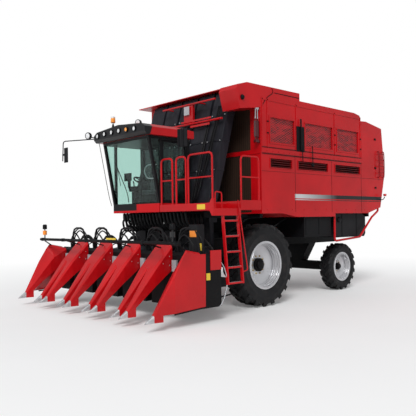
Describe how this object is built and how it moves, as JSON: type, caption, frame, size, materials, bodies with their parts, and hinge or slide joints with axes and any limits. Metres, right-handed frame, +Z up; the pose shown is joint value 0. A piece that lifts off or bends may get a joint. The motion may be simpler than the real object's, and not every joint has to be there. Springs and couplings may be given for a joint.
{
  "type": "cotton picker",
  "caption": "self-propelled cotton picker: row-crop picking head, cab, air ducts, tipping basket, large drive wheels and steered rear wheels",
  "frame": {"origin": "on the ground under the middle of the overall length, on the centre plane", "axes": "+X forward over the picking head, +Y to the machine's left, +Z up"},
  "size_m": [8.936, 5.2, 4.9258],
  "materials": {
    "red_paint": "gloss red paint",
    "black_paint": "satin black paint",
    "rim_paint": "silver paint",
    "tyre_rubber": "tyre rubber",
    "engine_iron": "painted castings",
    "black_plastic": "matt black",
    "mesh_paint": "perforated red sheet",
    "chrome_rod": "plated rods",
    "duct_paint": "charcoal paint",
    "cab_paint": "satin black paint",
    "tinted_glass": "green tinted glass",
    "seat_fabric": "woven seat cloth",
    "lamp_lens": "clear lens in black housing",
    "amber_lens": "amber lens",
    "worn_steel": "wear-polished steel",
    "grey_paint": "light grey paint",
    "hose_rubber": "hydraulic hose"
  },
  "bodies": {
    "machine": {"main_frame": "black_paint", "front_axle": "black_paint", "rear_axle": "black_paint", "engine": "engine_iron", "fuel_tank": "black_plastic", "service_box": "black_paint", "tail_frame": "red_paint", "side_walls": "red_paint", "vent_grilles": "black_plastic", "body_inner": "red_paint", "rear_housing": "red_paint", "ducts": "duct_paint", "duct_frame": "red_paint", "deck": "red_paint", "handrails": "red_paint", "ladder": "red_paint", "cab_shell": "cab_paint", "cab_glass": "tinted_glass", "cab_roof": "red_paint", "seat_frame": "black_paint", "seat_pads": "seat_fabric", "steering_column": "black_plastic", "mirrors": "black_plastic", "lamps": "lamp_lens"},
    "door": {"cab_door": "cab_paint", "door_glass": "tinted_glass"},
    "basket": {"basket_walls": "red_paint", "mesh_panels": "mesh_paint", "basket_nose": "red_paint", "basket_cylinders": "chrome_rod", "side_linkage": "black_paint"},
    "lid": {"basket_lid": "red_paint"},
    "lift_arms": {"lift_arms": "black_paint"},
    "head": {"toolbar": "black_paint", "cabinets": "black_paint", "picker_drums": "worn_steel", "throat_plates": "grey_paint", "hoods": "red_paint", "end_dividers": "red_paint", "divider_points": "worn_steel", "head_tubes": "black_paint", "duct_boots": "duct_paint", "head_hoses": "hose_rubber", "marker_lamps": "amber_lens"},
    "front_wheel_left": {"front_tyre_left": "tyre_rubber", "front_rim_left": "rim_paint", "front_hub_left": "black_paint"},
    "knuckle_left": {"knuckle_left": "black_paint"},
    "rear_wheel_left": {"rear_tyre_left": "tyre_rubber", "rear_rim_left": "rim_paint", "rear_hub_left": "black_paint"},
    "front_wheel_right": {"front_tyre_right": "tyre_rubber", "front_rim_right": "rim_paint", "front_hub_right": "black_paint"},
    "knuckle_right": {"knuckle_right": "black_paint"},
    "rear_wheel_right": {"rear_tyre_right": "tyre_rubber", "rear_rim_right": "rim_paint", "rear_hub_right": "black_paint"}
  },
  "joints": [
    {"name": "front_spin_left", "type": "hinge", "parent": "machine", "child": "front_wheel_left", "pos_m": [0.726, 1.725, 0.92], "axis": [0, 1, 0], "continuous": true},
    {"name": "front_spin_right", "type": "hinge", "parent": "machine", "child": "front_wheel_right", "pos_m": [0.726, -1.725, 0.92], "axis": [0, 1, 0], "continuous": true},
    {"name": "steer_left", "type": "hinge", "parent": "machine", "child": "knuckle_left", "pos_m": [-2.934, 1.09, 0.631], "axis": [0, 0, 1], "range_deg": [-32, 32]},
    {"name": "rear_spin_left", "type": "hinge", "parent": "knuckle_left", "child": "rear_wheel_left", "pos_m": [-2.934, 1.37, 0.631], "axis": [0, 1, 0], "continuous": true},
    {"name": "steer_right", "type": "hinge", "parent": "machine", "child": "knuckle_right", "pos_m": [-2.934, -1.09, 0.631], "axis": [0, 0, 1], "range_deg": [-32, 32]},
    {"name": "rear_spin_right", "type": "hinge", "parent": "knuckle_right", "child": "rear_wheel_right", "pos_m": [-2.934, -1.37, 0.631], "axis": [0, 1, 0], "continuous": true},
    {"name": "head_lift", "type": "hinge", "parent": "machine", "child": "lift_arms", "pos_m": [1.37, 0, 0.99], "axis": [0, -1, 0], "range_deg": [0, 26]},
    {"name": "head_level", "type": "hinge", "parent": "lift_arms", "child": "head", "pos_m": [2.4, 0, 0.73], "axis": [0, -1, 0], "range_deg": [-26, 0]},
    {"name": "basket_tip", "type": "hinge", "parent": "machine", "child": "basket", "pos_m": [-1.2, 1.95, 3.4], "axis": [-1, 0, 0], "range_deg": [0, 75]},
    {"name": "lid_open", "type": "hinge", "parent": "basket", "child": "lid", "pos_m": [-1.9, -1.95, 4.685], "axis": [1, 0, 0], "range_deg": [0, 60]},
    {"name": "door_open", "type": "hinge", "parent": "machine", "child": "door", "pos_m": [2.066, 0.862, 3], "axis": [0, 0, 1], "range_deg": [0, 80]}
  ],
  "couplings": [
    {"joint": "steer_right", "follows": "steer_left", "ratio": 1},
    {"joint": "head_level", "follows": "head_lift", "ratio": -1}
  ]
}
